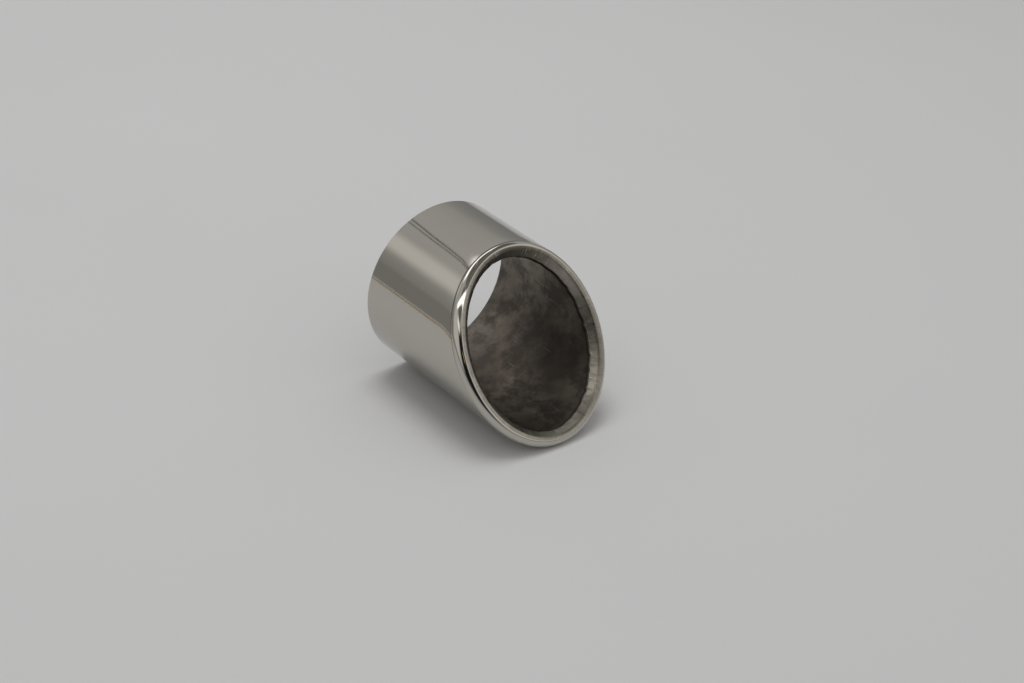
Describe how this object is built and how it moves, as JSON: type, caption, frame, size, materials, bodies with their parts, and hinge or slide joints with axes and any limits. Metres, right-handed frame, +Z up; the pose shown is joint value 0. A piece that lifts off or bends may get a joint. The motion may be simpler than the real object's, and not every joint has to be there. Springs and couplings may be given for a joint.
{
  "type": "exhaust tip",
  "caption": "Slant-cut exhaust tip: a thin polished steel tube, square-cut at the inlet, with its slanted mouth rolled inward into a rounded lip.",
  "frame": {"origin": "centre of the square-cut inlet end, on the tube's axis", "axes": "+Y along the tube's axis, out of the inlet; the mouth faces -Y; +Z up as it lies, with the long side of the slant down"},
  "size_m": [0.076, 0.0927, 0.076],
  "materials": {
    "polished_steel": "mirror polished outside, satin on the lip, dull and stained inside"
  },
  "bodies": {
    "root": {"exhaust_tip": "polished_steel"}
  },
  "joints": []
}
